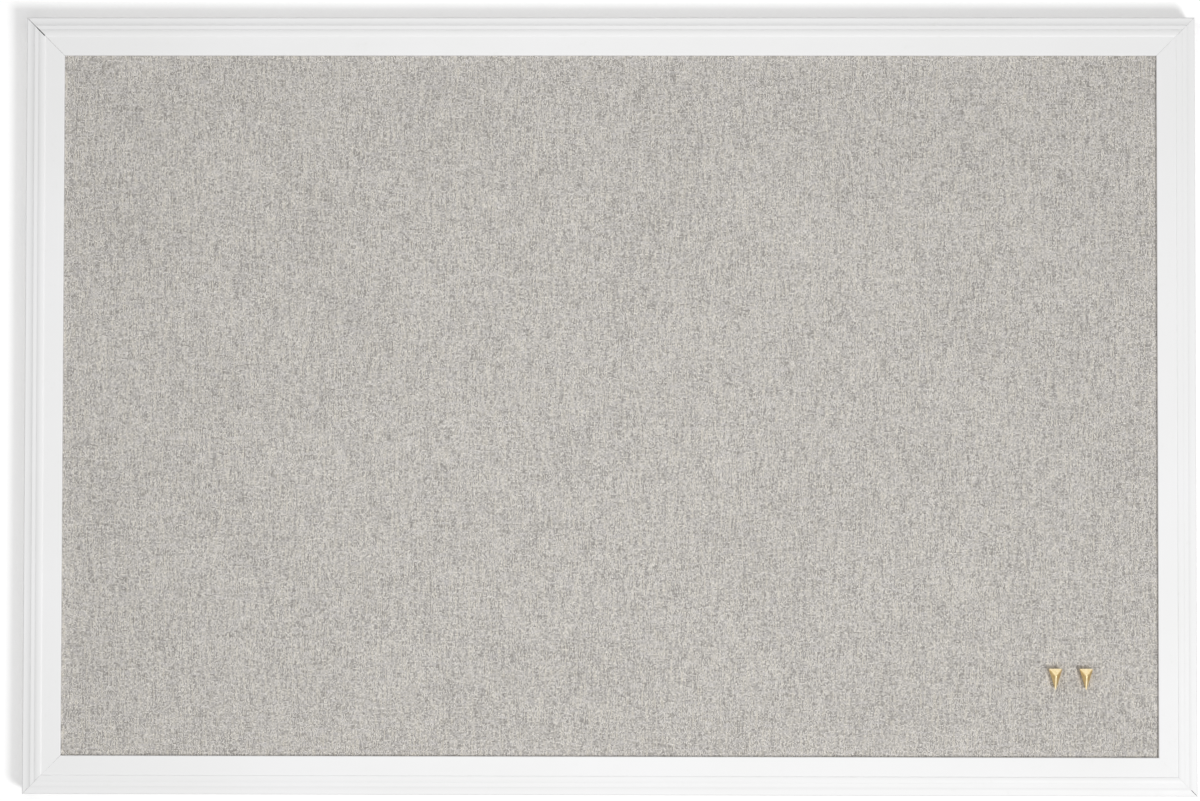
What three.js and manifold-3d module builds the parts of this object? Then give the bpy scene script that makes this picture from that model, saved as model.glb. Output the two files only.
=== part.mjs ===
// A linen bulletin board, 762 mm wide, in a white mitred frame, with two brass push pins.
//
// X runs to the right, Z up and +Y towards the wall that the board hangs on. The origin is on the wall,
// behind the middle of the board, so the front faces -Y. All lengths are in millimetres.
//
// Four mitred rails hold a sandwich in their rabbets: linen wrapped round a fibre core, then a hardboard
// back. Flat steel points hold the sandwich in, and V nails hold each mitre. Two ring hangers carry the
// board, and two rubber bumpers keep its lower edge off the wall.

import * as THREE from "three";
import { mergeVertices } from "three/addons/utils/BufferGeometryUtils.js";
import Module from "manifold-3d";

const wasm = await Module();
wasm.setup();

// Driving dimensions of the board
const boardWidth = 762;
const boardHeight = 506;
const layerFit = 0.2; // gap between flat layers, and under anything that sits on a face
const slotFit = 0.3; // gap round a fastener in its slot
const cutOverrun = 1; // how far a cutter runs past the face it opens

// The sandwich in the rabbet, from the back of the frame to the lip
const pointRecess = 1.2; // from the frame's back face to the steel points
const pointThickness = 0.6;
const backingThickness = 2.5;
const linenThickness = 0.6;
const coreThickness = 9.5;
const turnInWidth = 25; // linen that is folded over the core's back
const staple = { crown: 12, wire: 0.6, width: 1.2, leg: 6 }; // holds the turned-in linen to the core
const linenSideGap = 0.8; // from the wrapped panel to the rabbet's wall
const backingSideGap = 1;

// Heights over the frame's back face that the layers give
const pointFront = pointRecess + pointThickness;
const backingBack = pointFront + layerFit;
const backingFront = backingBack + backingThickness;
const stapleBack = backingFront + layerFit;
const turnInBack = stapleBack + staple.wire + layerFit;
const turnInFront = turnInBack + linenThickness;
const coreBack = turnInFront + layerFit;
const coreFront = coreBack + coreThickness;
const linenBack = coreFront + layerFit;
const linenFront = linenBack + linenThickness;
const rabbetDepth = linenFront + layerFit;

// The moulding. Widths run in from the outer edge, and drops run down from the crown.
const moulding = {
  outerLedgeWidth: 1.3, // flat outer ledge before the first cove
  firstCoveWidth: 4.1,
  coveBendShare: 0.6, // how far across it the first cove's two end tangents meet
  filletWidth: 1.9, // narrow flat between the two coves
  secondCoveWidth: 0.9,
  crownRiseWidth: 2.2, // from the second cove to the top of the crown
  crownFallWidth: 1.5,
  riserWidth: 0.7, // small step down to the field
  fieldWidth: 11.7,
  sightRound: 0.7,
  outerRound: 0.7,
  rabbetWidth: 6,
  lipThickness: 2.4, // at the sight edge
  sightDrop: 0.8, // from the crown to the sight edge
  fieldDrop: 0.6, // from the crown to the field's high side
  riserDrop: 0.15, // from the crown to the top of the small step
  coveDrop: 0.35, // from the crown to the top of the second cove
  filletDrop: 0.65,
  ledgeDrop: 1.6,
};
const mouldingWidth =
  moulding.outerLedgeWidth + moulding.firstCoveWidth + moulding.filletWidth +
  moulding.secondCoveWidth + moulding.crownRiseWidth + moulding.crownFallWidth +
  moulding.riserWidth + moulding.fieldWidth + moulding.sightRound;
const mouldingDepth = rabbetDepth + moulding.lipThickness + moulding.sightDrop;
const backFaceWidth = mouldingWidth - moulding.rabbetWidth;
const mitreGap = 0.2;

// Flat steel points that hold the backing in
const point = {
  width: 6.4,
  driven: 5, // length inside the rail
  free: 9, // length over the backing
  taper: 3, // length of the driven tip
  corner: 1.2, // cut corners of the free end
};

// V nails, evenly across the back of each mitre
const vNail = { leg: 5, thickness: 0.5, depth: 10, count: 2 };

// Ring hangers on the side rails
const hangerDrop = 127; // from the top edge of the board to the eye's axis
const strap = {
  width: 9,
  sheet: 0.7,
  foldGap: 0.15, // between the two layers of the folded strip
  length: 13, // from the eye's axis to the tail
};
const ring = {
  wireRadius: 1,
  bend: 2, // between the bar and a leg, on the centre line
  joint: 0.4, // between the wire's two ends
  eyeFit: 0.25, // radial gap in the strap's eye
  sideRoom: 2, // from the strap's side to a leg
  tailRoom: 1.5, // from the strap's tail to the ring
};
const screw = {
  shankRadius: 1.5,
  shankLength: 12,
  tip: 3,
  headRadius: 3.1,
  headHeight: 1.8,
  recessLength: 3.4,
  recessWidth: 0.8,
  recessDepth: 1,
  holeFit: 0.4, // radial gap in the strap's hole
};

// Rubber bumpers at the lower corners
const bumper = { radius: 5, thickness: 4.5, taper: 0.6, inset: 40 };

// Brass push pins
const pinHead = {
  width: 9,
  height: 14.2,
  side: 5, // from the fabric to the rim
  rise: 3.6, // from the rim to the point of the pyramid
  pointShare: 0.35, // how far down the pyramid's point lies
  backShare: 0.82, // size of the back face against the rim
  socketDepth: 2.5,
};
const needle = { radius: 0.55, length: 9, tip: 2 };
const pinInset = 47.2; // from the right sight edge to the right pin
const pinSpacing = 19.8;
const pinRise = 52.6; // from the lower sight edge to both pins

// Facets of the round shapes
const roundSides = 24;
const smallSides = 12;
const wireSides = 10;
const ringSteps = 56;
const curveSteps = 5;

const finish = {
  whiteFoil: new THREE.MeshStandardMaterial({ color: "#eeeeec", roughness: 0.45, metalness: 0 }),
  linen: new THREE.MeshStandardMaterial({ color: "#bcb9b3", roughness: 0.95, metalness: 0 }),
  fibre: new THREE.MeshStandardMaterial({ color: "#a98b62", roughness: 1, metalness: 0 }),
  hardboard: new THREE.MeshStandardMaterial({ color: "#6f4c30", roughness: 0.7, metalness: 0 }),
  steel: new THREE.MeshStandardMaterial({ color: "#b9babb", roughness: 0.35, metalness: 1 }),
  brass: new THREE.MeshStandardMaterial({ color: "#d6b36e", roughness: 0.3, metalness: 1 }),
  rubber: new THREE.MeshStandardMaterial({ color: "#3a3a3a", roughness: 0.8, metalness: 0 }),
};

// A closed geometry as a manifold solid
function solidOf(geometry) {
  const bare = geometry.index ? geometry.toNonIndexed() : geometry.clone();
  bare.deleteAttribute("normal");
  bare.deleteAttribute("uv");
  const merged = mergeVertices(bare, 1e-4);
  return new wasm.Manifold(
    new wasm.Mesh({
      numProp: 3,
      vertProperties: new Float32Array(merged.attributes.position.array),
      triVerts: new Uint32Array(merged.index.array),
    }),
  );
}

// A manifold solid as a geometry
function geometryOf(solid) {
  const mesh = solid.getMesh();
  const stride = mesh.numProp;
  const places = new Float32Array(mesh.numVert * 3);
  for (let i = 0; i < mesh.numVert; i++) {
    places.set(mesh.vertProperties.subarray(i * stride, i * stride + 3), i * 3);
  }
  const geometry = new THREE.BufferGeometry();
  geometry.setAttribute("position", new THREE.BufferAttribute(places, 3));
  geometry.setIndex(new THREE.BufferAttribute(mesh.triVerts, 1));
  geometry.computeVertexNormals();
  return geometry;
}

function subtractAll(geometry, cutters) {
  return geometryOf(cutters.reduce((solid, cutter) => solid.subtract(solidOf(cutter)), solidOf(geometry)));
}

// A box between two values on each axis
function boxBetween([x0, x1], [y0, y1], [z0, z1]) {
  const box = new THREE.BoxGeometry(x1 - x0, y1 - y0, z1 - z0);
  return box.translate((x0 + x1) / 2, (y0 + y1) / 2, (z0 + z1) / 2);
}

// The Y of a height over the frame's back face
const atHeight = (height) => -(bumper.thickness + height);

// A solid turned on the Y axis, from [radius, distance towards -Y] pairs in rising order of distance
function turned(pairs, sides) {
  const profile = pairs.map(([radius, out]) => new THREE.Vector2(radius, out));
  return new THREE.LatheGeometry(profile, sides).rotateX(Math.PI);
}

// A flat outline in X and Z, given a thickness along Y from y0 to y1
function plate(outline, y0, y1) {
  const shape = new THREE.Shape(outline.map(([x, z]) => new THREE.Vector2(x, z)));
  const flat = new THREE.ExtrudeGeometry(shape, { depth: y1 - y0, bevelEnabled: false });
  return flat.rotateX(Math.PI / 2).translate(0, y1, 0);
}

function named(name, geometry, material) {
  const mesh = new THREE.Mesh(geometry, material);
  mesh.name = name;
  return mesh;
}

// The moulding's section: u runs in from the outer edge, v forward from the back face
function mouldingShape() {
  const m = moulding;
  const ledgeEnd = m.outerLedgeWidth;
  const filletStart = ledgeEnd + m.firstCoveWidth;
  const filletEnd = filletStart + m.filletWidth;
  const coveEnd = filletEnd + m.secondCoveWidth;
  const crown = coveEnd + m.crownRiseWidth;
  const riser = crown + m.crownFallWidth;
  const fieldStart = riser + m.riserWidth;
  const top = mouldingDepth;
  const ledge = top - m.ledgeDrop;
  const fillet = top - m.filletDrop;
  const sight = top - m.sightDrop;
  const shape = new THREE.Shape();
  shape.moveTo(0, 0);
  shape.lineTo(backFaceWidth, 0);
  shape.lineTo(backFaceWidth, rabbetDepth);
  shape.lineTo(mouldingWidth, rabbetDepth);
  shape.lineTo(mouldingWidth, sight - m.sightRound);
  shape.quadraticCurveTo(mouldingWidth, sight, mouldingWidth - m.sightRound, sight);
  shape.lineTo(fieldStart, top - m.fieldDrop);
  shape.lineTo(riser, top - m.riserDrop);
  shape.quadraticCurveTo((riser + crown) / 2, top, crown, top);
  shape.quadraticCurveTo((crown + coveEnd) / 2, top, coveEnd, top - m.coveDrop);
  shape.quadraticCurveTo(coveEnd, fillet, filletEnd, fillet);
  shape.lineTo(filletStart, fillet);
  shape.quadraticCurveTo(ledgeEnd + m.firstCoveWidth * m.coveBendShare, ledge, ledgeEnd, ledge);
  shape.lineTo(m.outerRound, ledge);
  shape.quadraticCurveTo(0, ledge, 0, ledge - m.outerRound);
  shape.closePath();
  return shape;
}

// A rail in its side's frame. Its ends are cut at 45 degrees.
function railGeometry(side) {
  const rail = new THREE.ExtrudeGeometry(mouldingShape(), {
    depth: 1,
    bevelEnabled: false,
    curveSegments: curveSteps,
  });
  const place = rail.attributes.position;
  for (let i = 0; i < place.count; i++) {
    const u = place.getX(i);
    const v = place.getY(i);
    const end = place.getZ(i) * 2 - 1;
    const reach = side.length / 2 - u - mitreGap / 2;
    place.setXYZ(i, -end * reach, atHeight(v), side.half - u);
  }
  return rail;
}

// The four sides. Each side's own frame has its outer edge at z = half, and turns round Y to its place.
const longSide = { length: boardWidth, half: boardHeight / 2, points: 5, staples: 5 };
const shortSide = { length: boardHeight, half: boardWidth / 2, points: 3, staples: 3 };
const sides = [
  { name: "top", turn: 0, ...longSide },
  { name: "right", turn: Math.PI / 2, ...shortSide },
  { name: "bottom", turn: Math.PI, ...longSide },
  { name: "left", turn: -Math.PI / 2, ...shortSide },
];

// Even places along X for the fasteners of one side
function placesAlong(side, count) {
  const sightLength = side.length - mouldingWidth * 2;
  return Array.from({ length: count }, (_, i) => ((i + 0.5) / count - 0.5) * sightLength);
}

// A steel point: its driven end lies towards +Z, and z = 0 is the rabbet's wall
function pointOutline(grow) {
  const side = point.width / 2 + grow;
  const tip = point.driven + grow;
  return [
    [-side, tip - point.taper],
    [-side, point.corner - point.free - grow],
    [point.corner - side, -point.free - grow],
    [side - point.corner, -point.free - grow],
    [side, point.corner - point.free - grow],
    [side, tip - point.taper],
    [0, tip],
  ];
}

function pointGeometry(grow) {
  return plate(pointOutline(grow), atHeight(pointFront + grow), atHeight(pointRecess - grow));
}

// A V nail whose point looks along +X+Z, with its legs parallel to the rails
function vNailGeometry(grow) {
  const leg = vNail.leg + grow;
  const outer = vNail.thickness / 2 + grow;
  const outline = [
    [outer, outer],
    [-leg, outer],
    [-leg, -outer],
    [-outer, -outer],
    [-outer, -leg],
    [outer, -leg],
  ];
  const back = grow > 0 ? -cutOverrun : layerFit;
  return plate(outline, atHeight(layerFit + vNail.depth + grow), atHeight(back));
}

const corners = [
  { name: "upper_right", x: 1, z: 1, turn: 0 },
  { name: "lower_right", x: 1, z: -1, turn: Math.PI / 2 },
  { name: "lower_left", x: -1, z: -1, turn: Math.PI },
  { name: "upper_left", x: -1, z: 1, turn: -Math.PI / 2 },
];
const vNailPlaces = corners.flatMap((corner) =>
  Array.from({ length: vNail.count }, (_, i) => {
    const inset = (backFaceWidth * (i + 1)) / (vNail.count + 1);
    const x = corner.x * (boardWidth / 2 - inset);
    const z = corner.z * (boardHeight / 2 - inset);
    return { name: `v_nail_${corner.name}_${i + 1}`, x, z, turn: corner.turn };
  }),
);

// Hangers sit on the middle of the side rails' back faces
const hangerX = boardWidth / 2 - backFaceWidth / 2;
const hangerZ = boardHeight / 2 - hangerDrop;
const eyeRadius = ring.wireRadius + ring.eyeFit;
const barrelRadius = eyeRadius + strap.sheet;
const eyeY = atHeight(0) + layerFit + barrelRadius;
const strapBack = atHeight(0) + layerFit;
const strapFold = strapBack + strap.sheet;
const strapTop = strapFold + strap.foldGap + strap.sheet;
const screwSeat = strapTop + layerFit;
const screwDrop = strap.length - strap.width / 2; // the screw is in the middle of the round tail
const hangers = [
  { side: "left", x: -hangerX },
  { side: "right", x: hangerX },
];

function pilotHole(x) {
  const radius = screw.shankRadius + slotFit;
  const depth = screw.shankLength - (screwSeat - atHeight(0)) + slotFit;
  const hole = new THREE.CylinderGeometry(radius, radius, depth + cutOverrun, smallSides);
  return hole.translate(x, atHeight(0) - (depth - cutOverrun) / 2, hangerZ - screwDrop);
}

// Cutters in the board's frame that every rail is cut with
const boardCutters = [
  ...vNailPlaces.map(({ x, z, turn }) => vNailGeometry(slotFit).rotateY(turn).translate(x, 0, z)),
  ...hangers.map(({ x }) => pilotHole(x)),
];

// A staple across the turned-in linen: its crown lies along X, and its legs go towards -Y into the core
function stapleGeometry(grow) {
  const half = staple.crown / 2 + grow;
  const inner = staple.crown / 2 - staple.wire - grow;
  const tip = staple.leg + grow;
  const outline = [
    [-half, 0],
    [half, 0],
    [half, tip],
    [inner, tip],
    [inner, staple.wire],
    [-inner, staple.wire],
    [-inner, tip],
    [-half, tip],
  ];
  const halfWidth = staple.width / 2 + grow;
  const shape = new THREE.Shape(outline.map(([x, deep]) => new THREE.Vector2(x, deep)));
  const bent = new THREE.ExtrudeGeometry(shape, { depth: halfWidth * 2, bevelEnabled: false });
  return bent.rotateX(Math.PI).translate(0, atHeight(stapleBack), halfWidth);
}

// Staples stand along the middle of the turned-in linen
const stapleInset = backFaceWidth + linenSideGap + turnInWidth / 2;
const stapleCutters = sides.flatMap((side) =>
  placesAlong(side, side.staples).map((x) =>
    stapleGeometry(slotFit).translate(x, 0, side.half - stapleInset).rotateY(side.turn),
  ),
);

// One side's rail, its steel points and its staples
function sideGroup(side) {
  const group = new THREE.Group();
  group.rotation.y = side.turn;
  const wall = side.half - backFaceWidth;
  const cutters = [
    ...boardCutters.map((cutter) => cutter.clone().rotateY(-side.turn)),
    ...placesAlong(side, side.points).map((x) => pointGeometry(slotFit).translate(x, 0, wall)),
  ];
  group.add(named(`frame_rail_${side.name}`, subtractAll(railGeometry(side), cutters), finish.whiteFoil));
  placesAlong(side, side.points).forEach((x, i) => {
    const mesh = named(`steel_point_${side.name}_${i + 1}`, pointGeometry(0), finish.steel);
    mesh.position.set(x, 0, wall);
    group.add(mesh);
  });
  placesAlong(side, side.staples).forEach((x, i) => {
    const mesh = named(`linen_staple_${side.name}_${i + 1}`, stapleGeometry(0), finish.steel);
    mesh.position.set(x, 0, side.half - stapleInset);
    group.add(mesh);
  });
  return group;
}

// Pins stand at the lower right of the linen
const pinZ = pinRise + mouldingWidth - boardHeight / 2;
const rightPinX = boardWidth / 2 - mouldingWidth - pinInset;
const pins = [
  { side: "left", x: rightPinX - pinSpacing },
  { side: "right", x: rightPinX },
];

function needleHole(x, bottom) {
  const radius = needle.radius + slotFit;
  const y = [atHeight(linenFront + cutOverrun), atHeight(bottom)];
  const hole = new THREE.CylinderGeometry(radius, radius, y[1] - y[0], smallSides);
  return hole.translate(x, (y[0] + y[1]) / 2, pinZ);
}

// The linen: a face, four sides and a turned-in border on the back
function linenGeometry() {
  const halfX = boardWidth / 2 - backFaceWidth - linenSideGap;
  const halfZ = boardHeight / 2 - backFaceWidth - linenSideGap;
  const outside = boxBetween(
    [-halfX, halfX],
    [atHeight(linenFront), atHeight(turnInBack)],
    [-halfZ, halfZ],
  );
  const insideX = halfX - linenThickness;
  const insideZ = halfZ - linenThickness;
  const inside = boxBetween(
    [-insideX, insideX],
    [atHeight(linenBack), atHeight(turnInFront)],
    [-insideZ, insideZ],
  );
  const windowX = halfX - turnInWidth;
  const windowZ = halfZ - turnInWidth;
  const window = boxBetween(
    [-windowX, windowX],
    [atHeight(turnInFront + cutOverrun), atHeight(turnInBack - cutOverrun)],
    [-windowZ, windowZ],
  );
  const holes = pins.map(({ x }) => needleHole(x, linenBack - cutOverrun));
  return subtractAll(outside, [inside, window, ...holes, ...stapleCutters]);
}

function coreGeometry() {
  const edge = backFaceWidth + linenSideGap + linenThickness + layerFit;
  const halfX = boardWidth / 2 - edge;
  const halfZ = boardHeight / 2 - edge;
  const core = boxBetween([-halfX, halfX], [atHeight(coreFront), atHeight(coreBack)], [-halfZ, halfZ]);
  const tip = linenFront - needle.length;
  return subtractAll(core, [...pins.map(({ x }) => needleHole(x, tip - slotFit)), ...stapleCutters]);
}

function backingGeometry() {
  const edge = backFaceWidth + backingSideGap;
  const halfX = boardWidth / 2 - edge;
  const halfZ = boardHeight / 2 - edge;
  return boxBetween([-halfX, halfX], [atHeight(backingFront), atHeight(backingBack)], [-halfZ, halfZ]);
}

// One folded strip with an eye for the ring's bar. Its frame starts at the eye's axis.
function strapGeometry() {
  const half = strap.width / 2;
  const tail = Array.from({ length: smallSides + 1 }, (_, i) => {
    const angle = (i / smallSides) * Math.PI;
    return [-Math.cos(angle) * half, -screwDrop - Math.sin(angle) * half];
  });
  const tongue = plate([[half, 0], [-half, 0], ...tail], strapBack - eyeY, strapTop - eyeY);
  const barrel = new THREE.CylinderGeometry(barrelRadius, barrelRadius, strap.width, roundSides);
  const eyeLength = strap.width + cutOverrun * 2;
  const eye = new THREE.CylinderGeometry(eyeRadius, eyeRadius, eyeLength, roundSides);
  const slit = boxBetween(
    [-half - cutOverrun, half + cutOverrun],
    [strapFold - eyeY, strapFold + strap.foldGap - eyeY],
    [-strap.length - cutOverrun, 0],
  );
  const holeLength = barrelRadius * 2 + cutOverrun * 2;
  const holeRadius = screw.shankRadius + screw.holeFit;
  const hole = new THREE.CylinderGeometry(holeRadius, holeRadius, holeLength, roundSides);
  hole.translate(0, 0, -screwDrop);
  const body = solidOf(tongue).add(solidOf(barrel.rotateZ(Math.PI / 2)));
  return subtractAll(geometryOf(body), [eye.rotateZ(Math.PI / 2), slit, hole]);
}

// A pan-head wood screw along Y: its head's seat is at y = 0, and its tip lies towards -Y
function screwGeometry() {
  const s = screw;
  const rimShare = 0.55; // height of the head's straight rim
  const crownShare = 0.6; // radius of the head's flat top
  const pairs = [
    [0, -s.headHeight],
    [s.headRadius * crownShare, -s.headHeight],
    [s.headRadius, -s.headHeight * rimShare],
    [s.headRadius, 0],
    [s.shankRadius, 0],
    [s.shankRadius, s.shankLength - s.tip],
    [0, s.shankLength],
  ];
  const depth = [s.headHeight - s.recessDepth, s.headHeight + cutOverrun];
  const long = [-s.recessLength / 2, s.recessLength / 2];
  const short = [-s.recessWidth / 2, s.recessWidth / 2];
  return subtractAll(turned(pairs, roundSides), [
    boxBetween(long, depth, short),
    boxBetween(short, depth, long),
  ]);
}

// The ring's wire as one open path: its ends meet inside the strap's eye
function ringPath() {
  const half = strap.width / 2 + ring.sideRoom + ring.wireRadius;
  const leg = strap.length + ring.tailRoom + ring.wireRadius - half;
  const bend = ring.bend;
  const path = new THREE.CurvePath();
  const line = (x0, z0, x1, z1) =>
    path.add(new THREE.LineCurve3(new THREE.Vector3(x0, 0, z0), new THREE.Vector3(x1, 0, z1)));
  const arc = (x, z, radius, from, to) => {
    const curve = new THREE.Curve();
    curve.getPoint = (t) => {
      const angle = from + (to - from) * t;
      return new THREE.Vector3(x + Math.cos(angle) * radius, 0, z + Math.sin(angle) * radius);
    };
    path.add(curve);
  };
  line(ring.joint / 2, 0, half - bend, 0);
  arc(half - bend, -bend, bend, Math.PI / 2, 0);
  line(half, -bend, half, -leg);
  arc(0, -leg, half, 0, -Math.PI);
  line(-half, -leg, -half, -bend);
  arc(bend - half, -bend, bend, Math.PI, Math.PI / 2);
  line(bend - half, 0, -ring.joint / 2, 0);
  return path;
}

function ringGeometry() {
  const circle = new THREE.EllipseCurve(0, 0, ring.wireRadius, ring.wireRadius);
  const section = new THREE.Shape(circle.getPoints(wireSides));
  return new THREE.ExtrudeGeometry(section, { steps: ringSteps, extrudePath: ringPath() });
}

// A three-sided pyramid on a drafted block. The needle's axis is the Y axis.
function pinHeadGeometry() {
  const upper = pinHead.height * pinHead.pointShare;
  const lower = pinHead.height - upper;
  const half = pinHead.width / 2;
  const back = -layerFit;
  const rim = back - pinHead.side;
  const share = pinHead.backShare;
  const triangle = [[-half, upper], [half, upper], [0, -lower]];
  const places = [
    ...triangle.map(([x, z]) => [x, rim, z]),
    ...triangle.map(([x, z]) => [x * share, back, z * share]),
    [0, rim - pinHead.rise, 0],
  ];
  const faces = [
    [0, 6, 1], [1, 6, 2], [2, 6, 0],
    [0, 1, 4], [0, 4, 3], [1, 2, 5], [1, 5, 4], [2, 0, 3], [2, 3, 5],
    [3, 4, 5],
  ];
  const head = new THREE.BufferGeometry();
  head.setAttribute("position", new THREE.Float32BufferAttribute(places.flat(), 3));
  head.setIndex(faces.flat());
  const radius = needle.radius + slotFit;
  const depth = pinHead.socketDepth + slotFit;
  const socket = new THREE.CylinderGeometry(radius, radius, depth + cutOverrun, smallSides);
  return subtractAll(head, [socket.translate(0, back - (depth - cutOverrun) / 2, 0)]);
}

function needleGeometry() {
  const pairs = [
    [0, -needle.length],
    [needle.radius, needle.tip - needle.length],
    [needle.radius, layerFit + pinHead.socketDepth],
    [0, layerFit + pinHead.socketDepth],
  ];
  return turned(pairs, smallSides);
}

function bumperGeometry() {
  const pairs = [
    [0, 0],
    [bumper.radius - bumper.taper, 0],
    [bumper.radius, bumper.taper],
    [bumper.radius, bumper.thickness - layerFit],
    [0, bumper.thickness - layerFit],
  ];
  return turned(pairs, roundSides);
}

const board = new THREE.Group();

board.add(
  ...sides.map(sideGroup),
  named("linen_cover", linenGeometry(), finish.linen),
  named("fibre_core", coreGeometry(), finish.fibre),
  named("backing_board", backingGeometry(), finish.hardboard),
);

for (const { name, x, z, turn } of vNailPlaces) {
  const mesh = named(name, vNailGeometry(0), finish.steel);
  mesh.position.set(x, 0, z);
  mesh.rotation.y = turn;
  board.add(mesh);
}

for (const { side, x } of hangers) {
  const hanger = new THREE.Group();
  hanger.position.set(x, eyeY, hangerZ);
  hanger.add(named(`hanger_strap_${side}`, strapGeometry(), finish.steel));
  hanger.add(named(`hanger_ring_${side}`, ringGeometry(), finish.steel));
  const mesh = named(`hanger_screw_${side}`, screwGeometry(), finish.steel);
  mesh.position.set(0, screwSeat - eyeY, -screwDrop);
  hanger.add(mesh);
  board.add(hanger);
}

for (const [side, sign] of [["left", -1], ["right", 1]]) {
  const mesh = named(`wall_bumper_${side}`, bumperGeometry(), finish.rubber);
  mesh.position.set(sign * (boardWidth / 2 - bumper.inset), 0, (backFaceWidth - boardHeight) / 2);
  board.add(mesh);
}

for (const { side, x } of pins) {
  const pin = new THREE.Group();
  pin.position.set(x, atHeight(linenFront), pinZ);
  pin.add(named(`pin_head_${side}`, pinHeadGeometry(), finish.brass));
  pin.add(named(`pin_needle_${side}`, needleGeometry(), finish.steel));
  board.add(pin);
}

export default board;
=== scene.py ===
import math

import bmesh
import bpy
from mathutils import Matrix, Vector, noise
from mathutils.geometry import interpolate_bezier


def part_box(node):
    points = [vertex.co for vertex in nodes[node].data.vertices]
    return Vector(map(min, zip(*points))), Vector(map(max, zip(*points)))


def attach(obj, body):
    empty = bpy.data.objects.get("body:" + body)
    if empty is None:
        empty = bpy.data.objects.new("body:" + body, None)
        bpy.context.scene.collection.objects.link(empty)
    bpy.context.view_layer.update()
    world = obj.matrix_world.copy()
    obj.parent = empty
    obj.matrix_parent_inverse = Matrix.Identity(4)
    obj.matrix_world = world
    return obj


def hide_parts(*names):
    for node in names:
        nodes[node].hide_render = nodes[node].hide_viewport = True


# A linen bulletin board in a white mitred frame, hung on a white wall, with two brass push pins.
# Metres, X to the right, Z up, the front looks along -Y. Sizes in the dictionaries are in mm.

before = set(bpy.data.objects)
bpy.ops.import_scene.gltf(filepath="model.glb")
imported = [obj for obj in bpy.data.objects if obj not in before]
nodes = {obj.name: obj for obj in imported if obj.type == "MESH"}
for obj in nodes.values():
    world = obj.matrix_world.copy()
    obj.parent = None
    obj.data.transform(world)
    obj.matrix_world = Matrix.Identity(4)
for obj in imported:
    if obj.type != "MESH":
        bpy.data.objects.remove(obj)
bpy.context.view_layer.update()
millimetre = 0.001
weld = 1e-6  # points nearer than this are one
tiny = 1e-5  # for telling places apart
print("frame loaded,", len(nodes), "solids")


# Mesh helpers

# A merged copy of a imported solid, with its flat faces joined up again
def copySolid(node):
    bm = bmesh.new()
    bm.from_mesh(nodes[node].data)
    bmesh.ops.remove_doubles(bm, verts=bm.verts, dist=weld)
    bmesh.ops.dissolve_limit(bm, angle_limit=math.radians(1), verts=bm.verts, edges=bm.edges)
    bm.normal_update()
    return bm


# Points of the curve from start to end that leans towards corner, without start
def leaningCurve(start, corner, end, steps):
    a, c, b = (Vector((*point, 0)) for point in (start, corner, end))
    points = interpolate_bezier(a, a.lerp(c, 2 / 3), b.lerp(c, 2 / 3), b, steps + 1)
    return [(p.x, p.y) for p in points[1:]]


def sharpEdges(bm, degrees):
    return [e for e in bm.edges if e.is_manifold and e.calc_face_angle() > math.radians(degrees)]


# Rounds the edges and gives back the faces that this makes
def roundEdges(bm, edges, width, segments=2):
    made = bmesh.ops.bevel(bm, geom=edges, offset=width * millimetre, offset_type="OFFSET", affect="EDGES",
                           segments=segments, profile=0.5, material=-1, clamp_overlap=True)
    return made["faces"]


# The bmesh as an object, smooth except where its faces meet at more than creaseAngle
def finishPiece(bm, name, materials, creaseAngle=40, turnOut=True):
    if turnOut:
        bmesh.ops.recalc_face_normals(bm, faces=bm.faces)
    mesh = bpy.data.meshes.new(name)
    bm.to_mesh(mesh)
    bm.free()
    mesh.shade_smooth()
    mesh.set_sharp_from_angle(angle=math.radians(creaseAngle))
    piece = bpy.data.objects.new(name, mesh)
    bpy.context.scene.collection.objects.link(piece)
    for material in materials:
        mesh.materials.append(material)
    return piece


# Flat faces keep their own shading next to rounded edges
def keepFlatsFlat(piece):
    piece.modifiers.new("flatShading", "WEIGHTED_NORMAL").keep_sharp = True


def place(piece, body, slot, node):
    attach(piece, body)
    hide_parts(node)


# Cuts the cutter out of the piece for good
def cutAway(piece, cutter, creaseAngle=40):
    cut = piece.modifiers.new("cut", "BOOLEAN")
    cut.solver, cut.object, cut.use_self = "EXACT", cutter, True
    bpy.context.view_layer.update()
    mesh = bpy.data.meshes.new_from_object(piece.evaluated_get(bpy.context.evaluated_depsgraph_get()))
    piece.modifiers.remove(cut)
    old, piece.data = piece.data, mesh
    bpy.data.meshes.remove(old)
    mesh.name = piece.name
    mesh.set_sharp_from_angle(angle=math.radians(creaseAngle))


# A solid turned round an axis along Y, from (radius, y) pairs
def turnedSolid(pairs, centre, sides):
    bm = bmesh.new()
    ring = [bm.verts.new((r * millimetre, y * millimetre, 0)) for r, y in pairs]
    edges = [bm.edges.new(pair) for pair in zip(ring, ring[1:])]
    bmesh.ops.spin(bm, geom=ring + edges, cent=(0, 0, 0), axis=(0, 1, 0), angle=math.tau,
                   steps=sides, use_merge=True)
    bmesh.ops.remove_doubles(bm, verts=bm.verts, dist=weld)
    bmesh.ops.translate(bm, verts=bm.verts, vec=centre)
    return bm


# Materials

def linear(hexColour):
    parts = [int(hexColour[i:i + 2], 16) / 255 for i in (1, 3, 5)]
    return (*(p / 12.92 if p <= 0.04045 else ((p + 0.055) / 1.055) ** 2.4 for p in parts), 1)


# Adds a node: inputs are values or sockets, settings are the node's own, and output picks what comes back.
# A Mix has its two colours in 6 and 7, or its two numbers in 2 and 3. A MapRange draws 1..2 out to 3..4.
def addNode(tree, kind, inputs=None, output=0, **settings):
    node = tree.nodes.new("ShaderNode" + kind)
    for key, value in settings.items():
        setattr(node, key, value)
    for key, value in (inputs or {}).items():
        if isinstance(value, bpy.types.NodeSocket):
            tree.links.new(value, node.inputs[key])
        else:
            node.inputs[key].default_value = value
    return node.outputs[output]


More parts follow.
